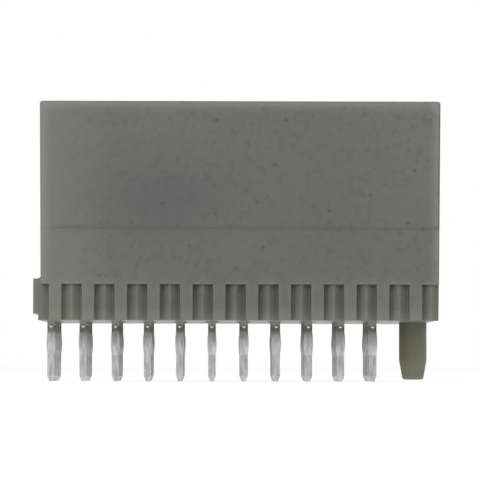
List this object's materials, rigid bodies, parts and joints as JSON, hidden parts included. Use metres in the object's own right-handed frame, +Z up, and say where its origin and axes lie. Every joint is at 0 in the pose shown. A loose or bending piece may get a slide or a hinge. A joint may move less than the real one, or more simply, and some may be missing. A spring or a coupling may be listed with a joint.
{
  "type": "shrouded board header",
  "caption": "Straight press-fit board header: a grey moulded shroud, open at the top and one end, holding a grid of square pins with press-fit tails, a guide block and a locating peg.",
  "frame": {"origin": "centre of the housing's footprint at the level of the tail tips", "axes": "+Z up through the mating cavity, +X along the contact columns towards the guide block, -Y out of the long wall that the picture shows"},
  "size_m": [0.0249, 0.0166, 0.0171],
  "materials": {
    "housing_resin": "moulded glass-filled resin, greenish mid grey, fine matte skin",
    "contact_metal": "tin-plated copper alloy, satin with faint drawing lines"
  },
  "bodies": {
    "root": {"housing": "housing_resin", "contact_a1": "contact_metal", "contact_a2": "contact_metal", "contact_a3": "contact_metal", "contact_a4": "contact_metal", "contact_a5": "contact_metal", "contact_a6": "contact_metal", "contact_a7": "contact_metal", "contact_a8": "contact_metal", "contact_a9": "contact_metal", "contact_a10": "contact_metal", "contact_a11": "contact_metal", "contact_b1": "contact_metal", "contact_b2": "contact_metal", "contact_b3": "contact_metal", "contact_b4": "contact_metal", "contact_b5": "contact_metal", "contact_b6": "contact_metal", "contact_b7": "contact_metal", "contact_b8": "contact_metal", "contact_b9": "contact_metal", "contact_b10": "contact_metal", "contact_b11": "contact_metal", "contact_c1": "contact_metal", "contact_c2": "contact_metal", "contact_c3": "contact_metal", "contact_c4": "contact_metal", "contact_c5": "contact_metal", "contact_c6": "contact_metal", "contact_c7": "contact_metal", "contact_c8": "contact_metal", "contact_c9": "contact_metal", "contact_c10": "contact_metal", "contact_c11": "contact_metal", "contact_d1": "contact_metal", "contact_d2": "contact_metal", "contact_d3": "contact_metal", "contact_d4": "contact_metal", "contact_d5": "contact_metal", "contact_d6": "contact_metal", "contact_d7": "contact_metal", "contact_d8": "contact_metal", "contact_d9": "contact_metal", "contact_d10": "contact_metal", "contact_d11": "contact_metal", "contact_e1": "contact_metal", "contact_e2": "contact_metal", "contact_e3": "contact_metal", "contact_e4": "contact_metal", "contact_e5": "contact_metal", "contact_e6": "contact_metal", "contact_e7": "contact_metal", "contact_e8": "contact_metal", "contact_e9": "contact_metal", "contact_e10": "contact_metal", "contact_e11": "contact_metal"}
  },
  "joints": []
}
